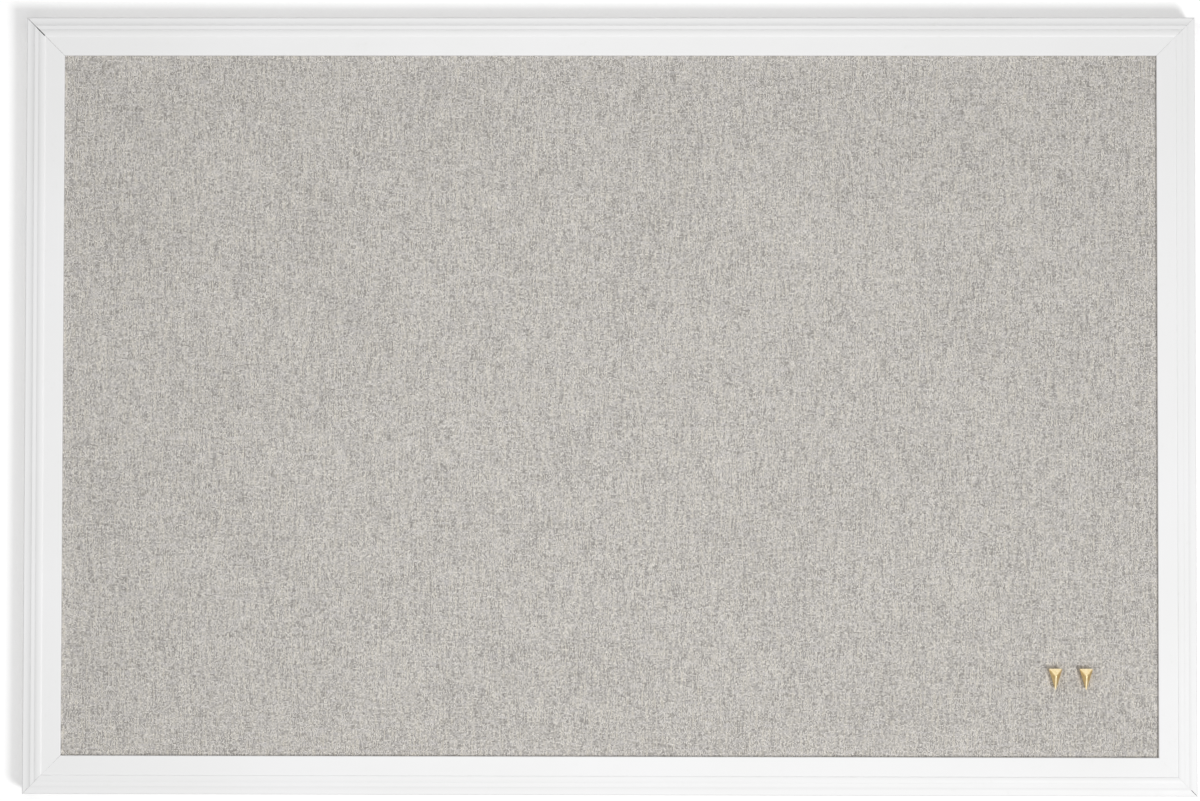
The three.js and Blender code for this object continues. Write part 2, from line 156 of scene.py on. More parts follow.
def newMaterial(name, **shaderValues):
    material = bpy.data.materials.new(name)
    material.use_nodes = True
    tree = material.node_tree
    shader = tree.nodes["Principled BSDF"]
    for key, value in shaderValues.items():
        shader.inputs[key.replace("_", " ")].default_value = value
    return material, tree, shader


# Gives the shader its colour, its fine relief from a height, and its gloss
def dress(tree, shader, look, colour, height, gloss=None):
    strength, depth = look["bump"]
    relief = addNode(tree, "Bump", {"Height": height, "Strength": strength, "Distance": depth * millimetre})
    tree.links.new(colour, shader.inputs["Base Color"])
    tree.links.new(relief, shader.inputs["Normal"])
    if gloss:
        tree.links.new(gloss, shader.inputs["Roughness"])


# A noise mostly keeps within 1 and 2, and the second of these also says what it is drawn out to
noiseRange = {1: 0.3, 2: 0.7}
drawnOut = {1: 0.35, 2: 0.65, 3: 0.0, 4: 1.0}


# In each look, grains and clouds are sizes in mm, and bump is its strength and its depth in mm.

# Soft, satin white foil on MDF: even and clean, with a faint orange peel that only the gloss shows
def satinWhiteFoil():
    look = {"clean": "#f2f2f3", "dull": "#ececeb", "mottle": 90, "scuff": 7, "scuffed": (0.62, 0.78),
            "scuffShare": 0.6, "gloss": (0.38, 0.5), "peel": 1.6, "bump": (0.5, 0.006)}
    material, tree, shader = newMaterial("satinWhiteFoil", Roughness=0.42, IOR=1.47)
    at = addNode(tree, "TexCoord", output="Object")
    mottle = addNode(tree, "TexNoise", {"Vector": at, "Scale": 1000 / look["mottle"], "Detail": 3.0})
    scuff = addNode(tree, "TexNoise", {"Vector": at, "Scale": 1000 / look["scuff"], "Detail": 5.0,
                                       "Roughness": 0.7})
    worn = addNode(tree, "MapRange", {0: scuff, 1: look["scuffed"][0], 2: look["scuffed"][1], 3: 0.0,
                                      4: look["scuffShare"]})
    share = addNode(tree, "Math", {0: mottle, 1: worn}, operation="ADD", use_clamp=True)
    colour = addNode(tree, "Mix", {0: share, 6: linear(look["clean"]), 7: linear(look["dull"])}, 2,
                     data_type="RGBA")
    gloss = addNode(tree, "MapRange", {0: scuff, **noiseRange, 3: look["gloss"][0], 4: look["gloss"][1]})
    peel = addNode(tree, "TexNoise", {"Vector": at, "Scale": 1000 / look["peel"], "Detail": 2.0})
    dress(tree, shader, look, colour, peel, gloss)
    return material


# MDF: pressed wood dust, matte, with dark and pale fibres under a millimetre long
def pressedMdf(name, pale, dark):
    look = {"pale": pale, "dark": dark, "fibre": 0.9, "cloud": 25, "swing": (-0.25, 0.55),
            "bump": (0.4, 0.05)}
    material, tree, shader = newMaterial(name, Roughness=0.88, Specular_IOR_Level=0.25)
    at = addNode(tree, "TexCoord", output="Object")
    fibre = addNode(tree, "TexNoise", {"Vector": at, "Scale": 1000 / look["fibre"], "Detail": 4.0,
                                       "Roughness": 0.65})
    cloud = addNode(tree, "TexNoise", {"Vector": at, "Scale": 1000 / look["cloud"], "Detail": 2.0})
    share = addNode(tree, "MapRange", {0: fibre, **noiseRange, 3: look["swing"][0], 4: look["swing"][1]},
                    clamp=False)
    share = addNode(tree, "Math", {0: share, 1: cloud}, operation="ADD", use_clamp=True)
    colour = addNode(tree, "Mix", {0: share, 6: linear(look["pale"]), 7: linear(look["dark"])}, 2,
                     data_type="RGBA")
    dress(tree, shader, look, colour, fibre)
    return material


# Grey linen, plain woven from slubby yarn: matte, each thread a little lighter or darker than the next.
# A share is how far its cause moves the lightness, and threadStep keeps the slubs of two threads apart.
def linenWeave():
    look = {"light": "#f3efe9", "dark": "#a4a09b", "ecru": "#dbd4c4", "rose": "#cecacb", "dye": 0.5,
            "pitch": (0.65, 0.8, 1.0), "slub": (14, 10), "threadStep": (7.31, 5.77), "wander": 26,
            "wanderBy": 2.4, "cloud": 70, "warpShare": 0.58, "weftShare": 0.26, "speckShare": 1.0,
            "cloudShare": 0.16, "paintedGapShade": 0.55, "fibre": (0.13, 1.1), "fibreTone": 0.34,
            "bump": (0.6, 0.16)}
    material, tree, shader = newMaterial("linenWeave", Roughness=0.92, Specular_IOR_Level=0.2,
                                         Sheen_Weight=0.08, Sheen_Roughness=0.5)
    flat = addNode(tree, "UVMap", uv_map="cut")
    flat = addNode(tree, "VectorMath", {0: flat, "Scale": 1000.0}, operation="SCALE")  # millimetres
    drift = addNode(tree, "TexNoise", {"Vector": flat, "Scale": 1 / look["wander"], "Detail": 5.0,
                                       "Roughness": 0.62}, 1, noise_dimensions="2D")
    drift = addNode(tree, "VectorMath", {0: drift, 1: (0.5, 0.5, 0.5)}, operation="SUBTRACT")
    drift = addNode(tree, "VectorMath", {0: drift, "Scale": look["wanderBy"]}, operation="SCALE")
    wandered = addNode(tree, "VectorMath", {0: flat, 1: drift}, operation="ADD")

    # which warp and weft thread this is, and how round each is here
    count = addNode(tree, "VectorMath", {0: wandered, 1: look["pitch"]}, operation="DIVIDE")
    number = addNode(tree, "VectorMath", {0: count}, operation="FLOOR")
    off = addNode(tree, "VectorMath", {0: count}, operation="FRACTION")
    off = addNode(tree, "VectorMath", {0: off, 1: (0.5, 0.5, 0.5)}, operation="SUBTRACT")
    off = addNode(tree, "VectorMath", {0: off, 1: off}, operation="MULTIPLY")
    bulge = addNode(tree, "VectorMath", {0: off, 1: (-4.0, -4.0, 0.0), 2: (1.0, 1.0, 0.0)},
                    operation="MULTIPLY_ADD")
    warpBulge = addNode(tree, "SeparateXYZ", {0: bulge}, "X")
    weftBulge = warpBulge.node.outputs["Y"]
    warpNumber = addNode(tree, "SeparateXYZ", {0: number}, "X")
    weftNumber = warpNumber.node.outputs["Y"]

    # slubs: each thread's tone changes slowly along it and not at all with its neighbours
    flatX = addNode(tree, "SeparateXYZ", {0: flat}, "X")
    flatY = flatX.node.outputs["Y"]
    tones = []
    for where, span in (((warpNumber, flatY), (look["threadStep"][0], 1 / look["slub"][0], 0.0)),
                        ((flatX, weftNumber), (1 / look["slub"][1], look["threadStep"][1], 0.0))):
        along = addNode(tree, "CombineXYZ", {0: where[0], 1: where[1]})
        along = addNode(tree, "VectorMath", {0: along, 1: span}, operation="MULTIPLY")
        tones.append(addNode(tree, "TexNoise", {"Vector": along, "Scale": 1.0, "Detail": 3.0,
                                                "Roughness": 0.65}, noise_dimensions="2D"))
    warpTone, weftTone = tones

    # plain weave: over one, under one
    crossing = addNode(tree, "Math", {0: warpNumber, 1: weftNumber}, operation="ADD")
    warpUp = addNode(tree, "Math", {0: crossing, 1: 2.0}, operation="FLOORED_MODULO")
    top = addNode(tree, "Mix", {0: warpUp, 2: weftBulge, 3: warpBulge}, data_type="FLOAT")
    under = addNode(tree, "Mix", {0: warpUp, 2: warpBulge, 3: weftBulge}, data_type="FLOAT")
    under = addNode(tree, "MapRange", {0: under, 1: 0.0, 2: 1.0, 3: 0.5, 4: 1.0})
    height = addNode(tree, "Math", {0: top, 1: under}, operation="MULTIPLY")

    # lightness from 0 to 1: slubs of both threads, a speck for each crossing, and soft clouds
    speck = addNode(tree, "TexWhiteNoise", {"Vector": number}, noise_dimensions="2D")
    cloud = addNode(tree, "TexNoise", {"Vector": flat, "Scale": 1 / look["cloud"], "Detail": 3.0},
                    noise_dimensions="2D")
    share = 0.5
    for source, span, part in ((warpTone, noiseRange, "warpShare"), (weftTone, noiseRange, "weftShare"),
                               (cloud, {}, "cloudShare")):
        half = look[part] / 2
        swing = addNode(tree, "MapRange", {0: source, **span, 3: -half, 4: half}, clamp=False)
        share = addNode(tree, "Math", {0: share, 1: swing}, operation="ADD")
    half = look["speckShare"] / 2
    swing = addNode(tree, "MapRange", {0: speck, 3: -half, 4: half})
    share = addNode(tree, "Math", {0: share, 1: swing}, operation="ADD", use_clamp=True)
    colour = addNode(tree, "Mix", {0: share, 6: linear(look["dark"]), 7: linear(look["light"])}, 2,
                     data_type="RGBA")
    for tone, tint in ((warpTone, "ecru"), (weftTone, "rose")):
        dyed = addNode(tree, "MapRange", {0: tone, 1: 0.48, 2: 0.7, 3: 0.0, 4: look["dye"]})
        colour = addNode(tree, "Mix", {0: dyed, 6: colour, 7: linear(look[tint])}, 2, data_type="RGBA")
    # Painted shade: the colour darkens where a thread dips down beside its neighbours
    gap = addNode(tree, "MapRange", {0: height, 1: 0.0, 2: 0.8, 3: look["paintedGapShade"], 4: 1.0})
    colour = addNode(tree, "VectorMath", {0: colour, "Scale": gap}, operation="SCALE")

    # the fibres that each thread is spun from, fine across it and long along it
    across, along = look["fibre"]
    fibres = []
    for span in ((1 / across, 1 / along, 0.0), (1 / along, 1 / across, 0.0)):
        where = addNode(tree, "VectorMath", {0: wandered, 1: span}, operation="MULTIPLY")
        fibres.append(addNode(tree, "TexNoise", {"Vector": where, "Scale": 1.0, "Detail": 3.0,
                                                 "Distortion": 0.6}, noise_dimensions="2D"))
    strand = addNode(tree, "Mix", {0: warpUp, 2: fibres[1], 3: fibres[0]}, data_type="FLOAT")
    strand = addNode(tree, "MapRange", {0: strand, **noiseRange, 3: 1 - look["fibreTone"],
                                        4: 1 + look["fibreTone"]}, clamp=False)
    colour = addNode(tree, "VectorMath", {0: colour, "Scale": strand}, operation="SCALE")
    dress(tree, shader, look, colour, height)
    return material


# Soft fibreboard: pressed wood pulp, tan and matte, with loose fibres
def fibreboard():
    look = {"pale": "#bda277", "dark": "#8f7347", "fibre": 1.5, "bump": (0.6, 0.2)}
    material, tree, shader = newMaterial("fibreboard", Roughness=0.95)
    at = addNode(tree, "TexCoord", output="Object")
    fibre = addNode(tree, "TexNoise", {"Vector": at, "Scale": 1000 / look["fibre"], "Detail": 5.0,
                                       "Distortion": 1.2})
    share = addNode(tree, "MapRange", {0: fibre, **drawnOut})
    colour = addNode(tree, "Mix", {0: share, 6: linear(look["pale"]), 7: linear(look["dark"])}, 2,
                     data_type="RGBA")
    dress(tree, shader, look, colour, fibre)
    return material


# Tempered hardboard, its screened side out: brown, fibrous, with the print of the press's wire screen.
# The screen's mesh is about 1.2 mm, drawn at 2.4 mm so that it shows.
def screenedHardboard():
    look = {"pale": "#93704f", "dark": "#5c4029", "fibre": 1.1, "cloud": 30, "cloudShare": 0.3,
            "swing": (0.1, 1.1), "mesh": 2.4, "pit": -0.35, "fuzz": 0.4, "bump": (0.9, 0.2)}
    material, tree, shader = newMaterial("screenedHardboard", Roughness=0.72)
    at = addNode(tree, "TexCoord", output="Object")
    fibre = addNode(tree, "TexNoise", {"Vector": at, "Scale": 1000 / look["fibre"], "Detail": 5.0,
                                       "Roughness": 0.75, "Distortion": 0.4})
    cloud = addNode(tree, "TexNoise", {"Vector": at, "Scale": 1000 / look["cloud"], "Detail": 3.0})
    bands = math.tau / 20 * 1000 / look["mesh"]  # a wave at scale 1 is tau / 20 long
    waves = [addNode(tree, "TexWave", {"Vector": at, "Scale": bands, "Distortion": 0.3}, 1,
                     bands_direction=axis) for axis in ("X", "Z")]
    screen = addNode(tree, "Math", {0: waves[0], 1: waves[1]}, operation="MULTIPLY")
    share = addNode(tree, "Mix", {0: look["cloudShare"], 2: fibre, 3: cloud}, data_type="FLOAT")
    share = addNode(tree, "MapRange", {0: share, **drawnOut, 3: look["swing"][0], 4: look["swing"][1]},
                    clamp=False)
    # The screen's pits are darker in colour: partly dust, partly painted shade
    share = addNode(tree, "Math", {0: screen, 1: look["pit"], 2: share}, operation="MULTIPLY_ADD",
                    use_clamp=True)
    colour = addNode(tree, "Mix", {0: share, 6: linear(look["pale"]), 7: linear(look["dark"])}, 2,
                     data_type="RGBA")
    height = addNode(tree, "Math", {0: fibre, 1: look["fuzz"], 2: screen}, operation="MULTIPLY_ADD")
    dress(tree, shader, look, colour, height)
    return material


# Sheet steel or wire: metal with drawn or rolled streaks that catch the light unevenly
def steel(name, bright, dull, grain, roughness):
    look = {"bright": bright, "dull": dull, "cloud": 4, "streak": 12, "gloss": (-0.07, 0.1),
            "bump": (0.3, 0.02)}
    material, tree, shader = newMaterial(name, Metallic=1.0, Roughness=roughness)
    at = addNode(tree, "TexCoord", output="Object")
    cloud = addNode(tree, "TexNoise", {"Vector": at, "Scale": 1000 / look["cloud"], "Detail": 3.0})
    fine = 1000 / grain
    streak = addNode(tree, "Mapping", {"Vector": at, "Scale": (fine, fine, fine / look["streak"])})
    streak = addNode(tree, "TexNoise", {"Vector": streak, "Scale": 1.0, "Detail": 3.0})
    share = addNode(tree, "MapRange", {0: cloud, **drawnOut})
    colour = addNode(tree, "Mix", {0: share, 6: linear(look["bright"]), 7: linear(look["dull"])}, 2,
                     data_type="RGBA")
    gloss = addNode(tree, "MapRange", {0: streak, **noiseRange, 3: roughness + look["gloss"][0],
                                       4: roughness + look["gloss"][1]})
    dress(tree, shader, look, colour, streak, gloss)
    return material


# Cast and tumbled brass: a warm soft reflection with a fine grain and slightly brighter worn spots
def tumbledBrass(name, bright, deep, roughness):
    look = {"bright": bright, "deep": deep, "grain": 0.35, "streak": 5, "spot": 2.2, "gloss": 0.05,
            "bump": (0.25, 0.02)}
    material, tree, shader = newMaterial(name, Metallic=1.0, Roughness=roughness)
    at = addNode(tree, "TexCoord", output="Object")
    fine = 1000 / look["grain"]
    grain = addNode(tree, "Mapping", {"Vector": at, "Scale": (fine, fine, fine / look["streak"])})
    grain = addNode(tree, "TexNoise", {"Vector": grain, "Scale": 1.0, "Detail": 3.0})
    spot = addNode(tree, "TexNoise", {"Vector": at, "Scale": 1000 / look["spot"], "Detail": 2.0})
    share = addNode(tree, "MapRange", {0: spot, **drawnOut})
    colour = addNode(tree, "Mix", {0: share, 6: linear(look["bright"]), 7: linear(look["deep"])}, 2,
                     data_type="RGBA")
    gloss = addNode(tree, "MapRange", {0: grain, **noiseRange, 3: roughness - look["gloss"],
                                       4: roughness + look["gloss"]})
    dress(tree, shader, look, colour, grain, gloss)
    return material


# Moulded rubber: charcoal and matte, with a fine skin and a dusting of bloom
def mouldedRubber():
    look = {"skin": "#343434", "bloom": "#4a4948", "grain": 0.5, "cloud": 5, "bump": (0.3, 0.03)}
    material, tree, shader = newMaterial("mouldedRubber", Roughness=0.75)
    at = addNode(tree, "TexCoord", output="Object")
    cloud = addNode(tree, "TexNoise", {"Vector": at, "Scale": 1000 / look["cloud"], "Detail": 3.0})
    grain = addNode(tree, "TexNoise", {"Vector": at, "Scale": 1000 / look["grain"], "Detail": 2.0})
    share = addNode(tree, "MapRange", {0: cloud, 1: 0.4, 2: 0.7, 3: 0.0, 4: 1.0})
    colour = addNode(tree, "Mix", {0: share, 6: linear(look["skin"]), 7: linear(look["bloom"])}, 2,
                     data_type="RGBA")
    dress(tree, shader, look, colour, grain)
    return material


foil, weave, pulp, hardboard = satinWhiteFoil(), linenWeave(), fibreboard(), screenedHardboard()
mdf = pressedMdf("rawMdf", "#d2bd99", "#b3986c")
paintedShadeMitreMdf = pressedMdf("paintedShadeMitreMdf", "#5d574e", "#45413b")  # mitred ends, painted dark grey: painted shade inside the open mitres
zincSteel = steel("zincPlatedSteel", "#c6c8ca", "#b0b3b8", 0.6, 0.32)
brightSteel = steel("brightSteel", "#bcbdbe", "#a2a3a5", 0.4, 0.36)
brass = tumbledBrass("satinBrass", "#cfb88a", "#c0a673", 0.5)
paintedHighlightBrass = tumbledBrass("paintedHighlightBrass", "#fceac2", "#f3deac", 0.27)  # a lighter copy of the brass: painted highlight on the upward face and the ridges
rubber = mouldedRubber()
print("materials made")


# The frame. In the section, u runs in from the outer edge and v forward from the back.
moulding = {
    "long": 762, "short": 506, "back": -4.5,  # Y of the back face
    "width": 25, "backWidth": 19, "rabbet": 16.8, "foilTurn": 6,
    # u of each change in the face, then v of each height
    "ledgeEnd": 1.3, "coveBend": 4.1, "filletStart": 5.4, "filletEnd": 7.3, "coveEnd": 8.2, "crown": 10.4,
    "riser": 12.1, "fieldStart": 12.6,
    "ledge": 18.7, "fillet": 19.5, "coveTop": 19.72, "top": 20.0, "riserTop": 19.9, "field": 19.55,
    "sight": 19.3,
    "outerRound": 0.7, "backRound": 0.4, "rabbetRound": 0.25, "lipRound": 0.2, "sightRound": 0.5,
    "fieldRound": 0.2, "riserRound": 0.15, "filletRound": 0.25, "arris": 0.06,
    "coveSteps": 12, "crownSteps": 8, "roundSteps": 4,
    "slotGap": 0.15,  # round each piece that is driven in
}

# How far each mitre stands open, in pairs of u and the gap there
mitreGaps = {
    "upperLeft": ((0, 0.32), (5.6, 0.42), (7, 0.75), (11.6, 0.9), (12.3, 0.12), (25, 0.14)),
    "upperRight": ((0, 0.08), (8, 0.08), (10.4, 0.14), (12.6, 0.03), (22, 0.03), (25, 0.1)),
    "lowerRight": ((0, 0.04), (1.2, 0.4), (3.5, 0.5), (4.6, 0), (8.2, 0.05), (12.1, 0.06), (12.6, 0),
                   (25, 0)),
    "lowerLeft": ((0, 0.06), (2, 0.16), (5.4, 0.06), (8.2, 0.14), (10.4, 0.1), (12.6, 0.02), (22, 0.03),
                  (25, 0.1)),
}


# Half of the gap at u, read off between the two nearest pairs
def halfGap(corner, u):
    pairs = mitreGaps[corner]
    for (u0, gap0), (u1, gap1) in zip(pairs, pairs[1:]):
        if u <= u1:
            return (gap0 + (gap1 - gap0) * max(0, u - u0) / (u1 - u0)) / 2
    return pairs[-1][1] / 2


# The section as one face, made from corners of u, v and rounding
def sectionFace(bm):
    m = moulding
    top, riser, crown, coveEnd = m["top"], m["riser"], m["crown"], m["coveEnd"]
    corners = [(0, 0, m["backRound"]), (m["foilTurn"], 0, 0), (m["backWidth"], 0, m["rabbetRound"]),
               (m["backWidth"], m["rabbet"], 0), (m["width"], m["rabbet"], m["lipRound"]),
               (m["width"], m["sight"], m["sightRound"]), (m["fieldStart"], m["field"], m["fieldRound"]),
               (riser, m["riserTop"], m["riserRound"])]
    sweeps = [((riser, m["riserTop"]), ((riser + crown) / 2, top), (crown, top), m["crownSteps"]),
              ((crown, top), ((crown + coveEnd) / 2, top), (coveEnd, m["coveTop"]), m["crownSteps"]),
              ((coveEnd, m["coveTop"]), (coveEnd, m["fillet"]), (m["filletEnd"], m["fillet"]),
               m["coveSteps"])]
    for sweep in sweeps:
        corners += [(*p, 0) for p in leaningCurve(*sweep)]
    corners.append((m["filletStart"], m["fillet"], m["filletRound"]))
    corners += [(*p, 0) for p in leaningCurve((m["filletStart"], m["fillet"]), (m["coveBend"], m["ledge"]),
                                              (m["ledgeEnd"], m["ledge"]), m["coveSteps"])]
    corners.append((0, m["ledge"], m["outerRound"]))
    verts = [(bm.verts.new((0, m["back"] - v, -u)), rounding) for u, v, rounding in corners]
    bm.faces.new([vert for vert, _ in verts])
    for vert, rounding in verts:
        if rounding:
            bmesh.ops.bevel(bm, geom=[vert], offset=rounding, offset_type="OFFSET", affect="VERTICES",
                            segments=m["roundSteps"], profile=0.5, material=-1, clamp_overlap=True)
    return bm.faces[:][0]


# One mitred rail between the two corners in cornersAt. It is made in millimetres as a top rail whose outer
# edge is half above the middle, then turned round Y to its side.
def makeRail(name, length, half, turn, cornersAt):
    m = moulding
    near = 0.01
    bm = bmesh.new()
    section = sectionFace(bm)
    reach = length / 2 - half
    bmesh.ops.translate(bm, verts=bm.verts, vec=(-reach, 0, half))
    side = bmesh.ops.extrude_face_region(bm, geom=[section], use_keep_orig=True)
    ends = [set(section.verts), {v for v in side["geom"] if isinstance(v, bmesh.types.BMVert)}]
    bmesh.ops.translate(bm, verts=list(ends[1]), vec=(2 * reach, 0, 0))
    for sign, corner, verts in zip((-1, 1), cornersAt, ends):
        lean = Matrix(((1, 0, sign, 0), (0, 1, 0, 0), (0, 0, 1, 0), (0, 0, 0, 1)))
        bmesh.ops.transform(bm, matrix=lean, verts=list(verts))
        for vert in verts:
            vert.co.x -= sign * halfGap(corner, half - vert.co.z)
    bmesh.ops.recalc_face_normals(bm, faces=bm.faces)
    sawn = [f for f in bm.faces if len(f.verts) > 4]
    rim = list({e for f in sawn for e in f.edges})
    # The mitred ends get the dark grey material, painted shade for the open mitres; the back and rabbet are
    # raw MDF
    for face in bm.faces:
        u, v = half - face.calc_center_median().z, m["back"] - face.calc_center_median().y
        raw = v < near and u > m["foilTurn"] or v <= m["rabbet"] + near and u > m["backWidth"] - near
        face.material_index = 2 if face in sawn else 1 if raw else 0
    made = bmesh.ops.bevel(bm, geom=rim, offset=m["arris"], offset_type="OFFSET", affect="EDGES",
                           segments=2, profile=0.5, material=-1, clamp_overlap=True)
    for face in made["faces"]:
        face.material_index = 0
    bmesh.ops.scale(bm, verts=bm.verts, vec=(millimetre,) * 3)
    bmesh.ops.rotate(bm, verts=bm.verts, matrix=Matrix.Rotation(turn, 3, "Y"))
    return finishPiece(bm, name, [foil, mdf, paintedShadeMitreMdf], creaseAngle=32)


# Everything that is driven into the rails, a little fatter, so that each has its own slot
def driveCutter(gap):
    joined = bmesh.new()
    for name in nodes:
        if name.startswith(("v_nail", "steel_point", "hanger_screw")):
            bm = copySolid(name)
            for vert in bm.verts:
                vert.co += vert.normal * vert.calc_shell_factor() * gap * millimetre
            if name.startswith("v_nail"):
                back = max(v.co.y for v in bm.verts)
                for vert in bm.verts:  # the nails are flush, so their slots are cut through the back
                    if vert.co.y > back - tiny:
                        vert.co.y += millimetre
            part = bpy.data.meshes.new("part")
            bm.to_mesh(part)
            bm.free()
            joined.from_mesh(part)
            bpy.data.meshes.remove(part)
    return finishPiece(joined, "driveCutter", [mdf])


long, short = moulding["long"], moulding["short"]
railPlan = {
    "top": (long, short / 2, 0, ("upperLeft", "upperRight")),
    "right": (short, long / 2, math.pi / 2, ("upperRight", "lowerRight")),
    "bottom": (long, short / 2, math.pi, ("lowerRight", "lowerLeft")),
    "left": (short, long / 2, -math.pi / 2, ("lowerLeft", "upperLeft")),
}
slots = driveCutter(moulding["slotGap"])
for side, plan in railPlan.items():
    rail = makeRail("moulding_" + side, *plan)
    cutAway(rail, slots, creaseAngle=32)
    keepFlatsFlat(rail)
    place(rail, "board", "white_frame", "frame_rail_" + side)
bpy.data.objects.remove(slots)
print("frame made")


# Linen, core and back

linen = {
    "thickness": 0.6, "fold": 0.7, "foldSteps": 3, "turnIn": 25, "cells": (72, 47), "ripple": 0.06,
    "rippleLength": 45, "calm": 30,  # the ripple dies out over this far from the edges
}


# The cloth: stretched over the core's face and sides, and turned in on its back
def makeLinen():
    low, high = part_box("linen_cover")
    width, depth, height = high - low
    turnIn = linen["turnIn"] * millimetre
    bm = bmesh.new()
    bmesh.ops.create_grid(bm, x_segments=linen["cells"][0], y_segments=linen["cells"][1], size=0.5)
    bmesh.ops.scale(bm, verts=bm.verts, vec=(width, height, 1))
    bmesh.ops.rotate(bm, verts=bm.verts, matrix=Matrix.Rotation(math.pi / 2, 3, "X"))
    bmesh.ops.translate(bm, verts=bm.verts, vec=(0, low.y, 0))
    for vert in bm.verts:  # a faint unevenness, pulled flat at the edges
        rim = min(width / 2 - abs(vert.co.x), height / 2 - abs(vert.co.z))
        lift = 1 + noise.noise(vert.co * 1000 / linen["rippleLength"])
        vert.co.y += min(1, rim / (linen["calm"] * millimetre)) * linen["ripple"] * millimetre * lift
    for turn in ("side", "turnIn"):  # over the core's sides, then in over its back
        rimEdges = [e for e in bm.edges if e.is_boundary]
        made = bmesh.ops.extrude_edge_only(bm, edges=rimEdges)["geom"]
        verts = [v for v in made if isinstance(v, bmesh.types.BMVert)]
        if turn == "side":
            bmesh.ops.translate(bm, verts=verts, vec=(0, depth, 0))
        else:
            bmesh.ops.scale(bm, verts=verts, vec=(1 - 2 * turnIn / width, 1, 1 - 2 * turnIn / height))
    bmesh.ops.recalc_face_normals(bm, faces=bm.faces)

    # where a point of a face lay on the flat cloth, in metres, before it was wrapped
    cut = bm.loops.layers.uv.new("cut")
    for face in bm.faces:
        middle = face.calc_center_median()
        sideways = abs(middle.x) - width / 2 > abs(middle.z) - height / 2
        for loop in face.loops:
            x, y, z = loop.vert.co
            gone = y - low.y
            if face.normal.y > 0.5:
                gone += width / 2 - abs(x) if sideways else height / 2 - abs(z)
            if face.normal.y < -0.5:
                loop[cut].uv = (x, z)
            elif sideways:
                loop[cut].uv = (math.copysign(width / 2 + gone, x), z)
            else:
                loop[cut].uv = (x, math.copysign(height / 2 + gone, z))
    roundEdges(bm, sharpEdges(bm, 60), linen["fold"], linen["foldSteps"])
    piece = finishPiece(bm, "linen_cloth", [weave], creaseAngle=60, turnOut=False)
    thick = piece.modifiers.new("thickness", "SOLIDIFY")
    thick.thickness, thick.offset = linen["thickness"] * millimetre, -1
    place(piece, "board", "linen", "linen_cover")
    return piece


cloth = makeLinen()

nodes["fibre_core"].material_slots[0].material = pulp

backing = {"corner": 2.5, "cornerSteps": 4, "arris": 0.3}


# The hardboard that closes the back
def makeBacking():
    low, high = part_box("backing_board")
    bm = bmesh.new()
    bmesh.ops.create_cube(bm, size=1)
    bmesh.ops.scale(bm, verts=bm.verts, vec=high - low)
    bmesh.ops.translate(bm, verts=bm.verts, vec=(low + high) / 2)
    through = [e for e in bm.edges if abs(e.verts[0].co.y - e.verts[1].co.y) > tiny]
    roundEdges(bm, through, backing["corner"], backing["cornerSteps"])
    roundEdges(bm, sharpEdges(bm, 60), backing["arris"])
    piece = finishPiece(bm, "hardboard_back", [hardboard])
    keepFlatsFlat(piece)
    place(piece, "board", "hardboard", "backing_board")


makeBacking()
print("linen and back made")


# Fasteners

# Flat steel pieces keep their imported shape, with their arrises taken off
def makeStamped(node, name, body, slot, material, arris):
    bm = copySolid(node)
    roundEdges(bm, sharpEdges(bm, 35), arris)
    piece = finishPiece(bm, name, [material])
    keepFlatsFlat(piece)
    place(piece, body, slot, node)


arrises = {"point": 0.08, "vnail": 0.05, "strap": 0.1}
for node in list(nodes):
    if node.startswith("steel_point"):
        name = node.replace("steel_point", "point")
        makeStamped(node, name, "board", "bright_steel", brightSteel, arrises["point"])
    elif node.startswith("v_nail"):
        name = node.replace("v_nail", "vnail")
        makeStamped(node, name, "board", "bright_steel", brightSteel, arrises["vnail"])
    elif node.startswith(("linen_staple", "pin_needle")):
        nodes[node].material_slots[0].material = brightSteel

ring = {
    "wire": 1, "bend": 2, "joint": 0.4, "half": 7.5, "leg": 8, "sides": 6, "bendSteps": 8,
    "roundSteps": 36,
}


# The ring: a bar through the eye, two legs and a half round, with its two ends meeting inside the eye
def makeRing(side):
    r = ring
    low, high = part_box("hanger_ring_" + side)
    eye = Vector(((low.x + high.x) / 2, (low.y + high.y) / 2, high.z - r["wire"] * millimetre))

    def arc(x, z, radius, start, end, steps):
        turns = [math.radians(start + (end - start) * i / steps) for i in range(steps + 1)]
        return [(x + math.cos(t) * radius, z + math.sin(t) * radius) for t in turns]

    half, bend, leg, gap = r["half"], r["bend"], r["leg"], r["joint"] / 2
    points = [(gap, 0), *arc(half - bend, -bend, bend, 90, 0, r["bendSteps"]),
              *arc(0, -leg, half, 0, -180, r["roundSteps"]),
              *arc(bend - half, -bend, bend, 180, 90, r["bendSteps"]), (-gap, 0)]
    curve = bpy.data.curves.new("ringPath", "CURVE")
    curve.dimensions, curve.bevel_depth = "3D", r["wire"] * millimetre
    curve.bevel_resolution, curve.use_fill_caps = r["sides"], True
    spline = curve.splines.new("POLY")
    spline.points.add(len(points) - 1)
    for point, (x, z) in zip(spline.points, points):
        point.co = (*(eye + Vector((x, 0, z)) * millimetre), 1)
    wire = bpy.data.objects.new("ringPath", curve)
    bm = bmesh.new()
    bm.from_mesh(wire.to_mesh())
    bmesh.ops.remove_doubles(bm, verts=bm.verts, dist=weld)
    bpy.data.objects.remove(wire)
    piece = finishPiece(bm, "ring_" + side, [zincSteel])
    place(piece, "ring_" + side, "zinc_steel", "hanger_ring_" + side)


screw = {
    "head": 3.1, "rise": 1.8, "shank": 1.5, "length": 12, "tip": 3, "chamfer": 0.1, "sides": 32,
    "domeEdge": 0.45, "domeFull": 0.97, "domeSteps": 8,  # the first two are shares of head and rise
    "recess": (3.4, 0.8, 1), "recessDraft": 0.3,
}


